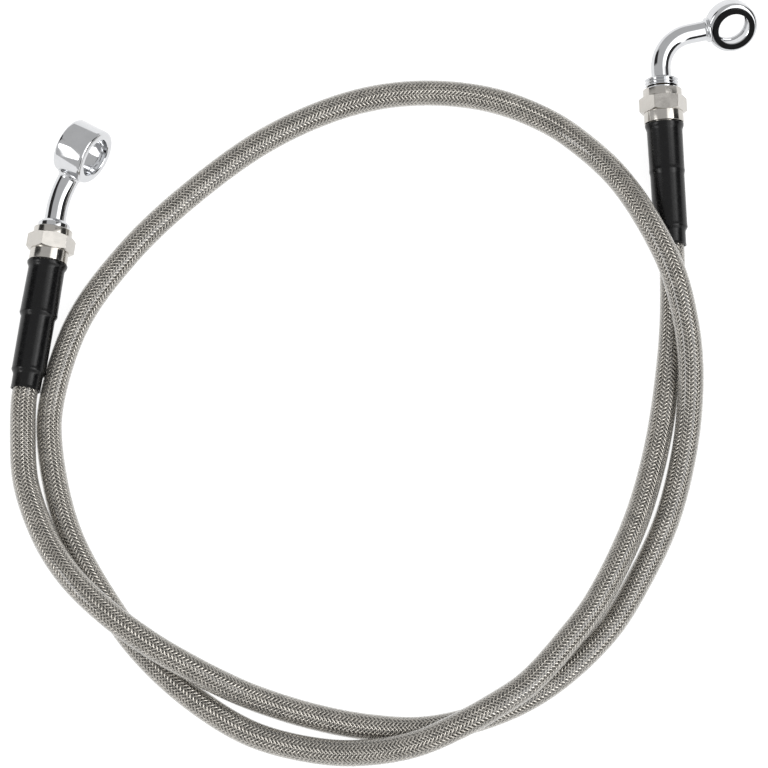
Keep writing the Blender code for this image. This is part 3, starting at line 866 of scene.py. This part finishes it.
# Sizes are in millimetres and angles in degrees. bend is the neck's own, roll turns the neck
# about the fitting, and twist turns the ring about the neck's end. corner is where the two
# straight stretches of the neck would meet, and reach is from there to the ring's middle.
EYE = {
    "left": Sizes(
        roll=36.6, bend=24.6, twist=-110.5, corner=15.4, reach=15.8, bend_r=22.0,
        eye_r=8.7, bore_r=6.0, half=5.1, edge=1.8,
    ),
    "right": Sizes(
        roll=-5.2, bend=79.2, twist=-38.4, corner=21.0, reach=23.4, bend_r=11.5,
        eye_r=8.05, bore_r=5.1, half=2.7, edge=1.3,
    ),
}
MOUTH_CHAMFER = 0.25
GROOVE_SHARE = 0.55
GROOVE_DEPTH = 0.45
GROOVE_SLOPE = 0.3
NECK_BORE_R = 1.6 * MM
NECK_IN_EYE = 0.5 * MM
NECK_SIDES = 14
NECK_BORE_SIDES = 8


def neck_points(corner, bend, bend_r, start, stop, more):
    """The neck's line in the fitting's own frame, with arc points two degrees apart."""
    turn_in = bend_r * math.tan(bend / 2.0)
    points = [Vector((0.0, 0.0, start - more))]
    arc = max(8, round(math.degrees(bend) / 2.0))
    for i in range(arc + 1):
        angle = bend * i / arc
        points.append(Vector((
            bend_r * (1.0 - math.cos(angle)), 0.0, corner - turn_in + bend_r * math.sin(angle),
        )))
    far = stop + more
    points.append(Vector((far * math.sin(bend), 0.0, corner + far * math.cos(bend))))
    return points


def tube_mesh(name, points, radius, sides, coat):
    """A capped round tube along points, as a mesh object."""
    bar = bar_along(name + "_line", points, radius, sides)
    mesh = settled(bar)
    bpy.data.objects.remove(bar)
    bm = bmesh.new()
    bm.from_mesh(mesh)
    bmesh.ops.remove_doubles(bm, verts=bm.verts, dist=MERGE)
    bmesh.ops.recalc_face_normals(bm, faces=bm.faces)
    return made_piece(name, bm, coat)


eye_frames = {}
for side, size in EYE.items():
    neck_r = NECK_R[side]
    lean = math.radians(size.bend)
    axis = SEAT[side] @ Matrix.Rotation(-math.radians(size.roll), 4, "Z")
    eye_spot = Vector((size.reach * math.sin(lean), 0.0, size.corner + size.reach * math.cos(lean)))
    neck_end = axis @ Matrix.Translation(eye_spot * MM) @ Matrix.Rotation(lean, 4, "Y")
    eye_turn = Euler((math.radians(90.0), 0.0, -math.radians(size.twist))).to_matrix()
    eye_frames[side] = neck_end @ eye_turn.to_4x4()

    half = size.half
    bore_r = size.bore_r
    groove = half * GROOVE_SHARE
    groove_floor = groove - GROOVE_SLOPE
    groove_r = bore_r + GROOVE_DEPTH
    ring_outline = in_metres([
        (size.eye_r, half, size.edge), (size.eye_r, -half, size.edge),
        (bore_r + MOUTH_CHAMFER, -half, 0.05), (bore_r, -half + MOUTH_CHAMFER, 0.05),
        (bore_r, -groove, 0.08), (groove_r, -groove_floor, 0.1),
        (groove_r, groove_floor, 0.1), (bore_r, groove, 0.08),
        (bore_r, half - MOUTH_CHAMFER, 0.05), (bore_r + MOUTH_CHAMFER, half, 0.05),
    ])
    eye = turned(side + "_eye", ring_outline, eye_frames[side], bright_chrome)
    hole_place = neck_end @ Matrix.Translation((0.0, 0.0, -0.5 * size.eye_r * MM))
    drill = solid_bar(
        side + "_drill", NECK_BORE_R, size.eye_r * MM, 48, 0.0, hole_place, bright_chrome,
    )
    joined(eye, drill, "DIFFERENCE", bright_chrome)
    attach(eye, "root")
    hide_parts(side + "_banjo_eye")

    # The braze runs from a thin foot on the neck up to a rounded bead at the ring.
    foot = -size.eye_r - 1.0
    top = -size.eye_r + 1.1
    braze_outline = in_metres([
        (neck_r - 0.4, foot, 0.0), (neck_r + 0.01, foot, 0.0),
        (neck_r + 0.1, foot + 0.55, 0.5), (neck_r + 0.85, foot + 1.05, 0.3),
        (neck_r + 0.75, foot + 1.75, 0.3), (neck_r + 0.1, top, 0.2), (neck_r - 0.4, top, 0.0),
    ])
    braze = turned(side + "_braze", braze_outline, neck_end, bright_chrome)
    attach(braze, "root")

    start = NOSE[side] * MM - NECK_IN_NIPPLE
    stop = (size.reach - size.eye_r) * MM + NECK_IN_EYE
    line = [size.corner * MM, lean, size.bend_r * MM, start, stop]
    outer = [axis @ p for p in neck_points(*line, 0.0)]
    inner = [axis @ p for p in neck_points(*line, 1.0 * MM)]
    neck = tube_mesh(side + "_neck", outer, neck_r * MM, NECK_SIDES, bright_chrome)
    neck_hole = tube_mesh(
        side + "_neck_hole", inner, NECK_BORE_R, NECK_BORE_SIDES, bright_chrome,
    )
    joined(neck, neck_hole, "DIFFERENCE", bright_chrome)
    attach(neck, "root")
    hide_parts(side + "_neck_tube")


# Seal washer: a black anodised ring with a sealing lip bonded inside it, laid on the near
# face of the right eye. Its sizes are in millimetres, and its places are on the eye's own Z.
WASHER_INNER_R = 5.1
WASHER_OUTER_R = 6.75
WASHER_BACK = 3.0
WASHER_FACE = 3.7

# Black anodising on a blasted ring: matt and very dark, so it mirrors almost nothing.
black_washer, tree = new_material("black_anodised_washer")
where = add_node(tree, "ShaderNodeTexCoord")
spots = add_node(
    tree, "ShaderNodeTexNoise", values={"Scale": 1.0 / (0.8 * MM), "Detail": 3.0},
    links={"Vector": where.outputs["Object"]},
)
tone = add_node(tree, "ShaderNodeValToRGB", links={"Fac": spots.outputs[0]})
tone.color_ramp.elements[0].color = srgb("020202")
tone.color_ramp.elements[1].color = srgb("08080A")
relief = add_node(
    tree, "ShaderNodeBump", values={"Strength": 0.3, "Distance": 0.02 * MM},
    links={"Height": spots.outputs[0]},
)
body = add_node(
    tree, "ShaderNodeBsdfPrincipled", values={"Roughness": 0.55, "Specular IOR Level": 0.15},
    links={"Base Color": tone.outputs[0], "Normal": relief.outputs[0]},
)
add_node(tree, "ShaderNodeOutputMaterial", links={"Surface": body.outputs[0]})

washer_outline = in_metres([
    (WASHER_INNER_R, WASHER_FACE, 0.1), (WASHER_OUTER_R, WASHER_FACE, 0.2),
    (WASHER_OUTER_R, WASHER_BACK, 0.05), (WASHER_INNER_R, WASHER_BACK, 0.05),
])
washer = turned("right_washer", washer_outline, eye_frames["right"], black_washer)
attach(washer, "root")
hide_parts("right_seal_washer")
